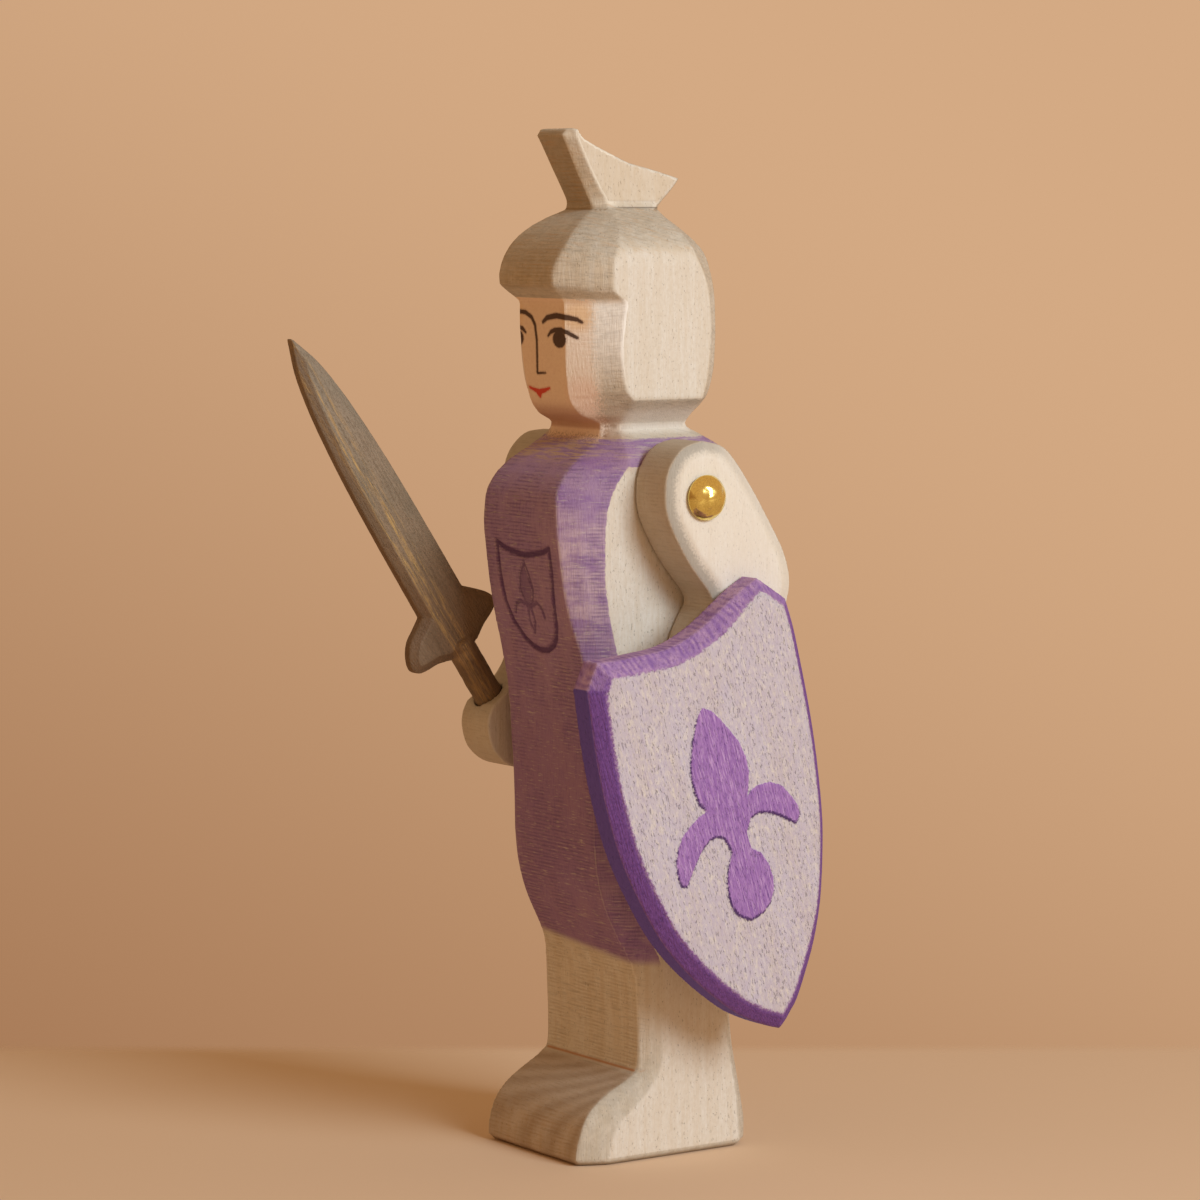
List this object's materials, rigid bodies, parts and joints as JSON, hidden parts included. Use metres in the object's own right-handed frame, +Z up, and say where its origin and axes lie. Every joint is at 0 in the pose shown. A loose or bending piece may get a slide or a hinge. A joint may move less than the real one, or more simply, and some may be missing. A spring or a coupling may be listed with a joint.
{
  "type": "toy knight figure",
  "caption": "Carved wooden knight figure with arms that turn on brass nails, a pull-out wooden sword and a shield on a dowel; it stands on its flat sole.",
  "frame": {"origin": "middle of the flat sole, on the mid-plane of the body board", "axes": "+Z up from the sole to the plume, -Y the way the knight faces, +X the knight's left"},
  "size_m": [0.0565, 0.0684, 0.1612],
  "materials": {
    "body_wood": "sanded maple, part stained violet, oiled",
    "arm_wood": "sanded maple, oiled",
    "brass": "polished",
    "shield_wood": "sanded, washed pale, edge stained violet",
    "peg_wood": "plain turned dowel",
    "sword_wood": "stained dark brown, sanded edges"
  },
  "bodies": {
    "figure": {"body": "body_wood", "shoulder_nail_left": "brass", "shoulder_nail_right": "brass"},
    "left_arm": {"arm_left": "arm_wood"},
    "peg": {"shield_peg": "peg_wood"},
    "shield": {"shield": "shield_wood"},
    "right_arm": {"arm_right": "arm_wood"},
    "sword": {"sword": "sword_wood"}
  },
  "joints": [
    {"name": "left_shoulder", "type": "hinge", "parent": "figure", "child": "left_arm", "pos_m": [0.0148, -0.003, 0.1046], "axis": [1, 0, 0], "continuous": true},
    {"name": "shield_turn", "type": "hinge", "parent": "left_arm", "child": "peg", "pos_m": [0.0148, -0.0052, 0.0658], "axis": [1, 0, 0], "range_deg": [-165, 125]},
    {"name": "shield_pull_off", "type": "slide", "parent": "peg", "child": "shield", "axis": [1, 0, 0], "range_m": [0, 0.004]},
    {"name": "right_shoulder", "type": "hinge", "parent": "figure", "child": "right_arm", "pos_m": [-0.0148, -0.003, 0.1046], "axis": [1, 0, 0], "continuous": true},
    {"name": "sword_pull_out", "type": "slide", "parent": "right_arm", "child": "sword", "axis": [0, -0.5432, 0.8396], "range_m": [0, 0.009]}
  ]
}
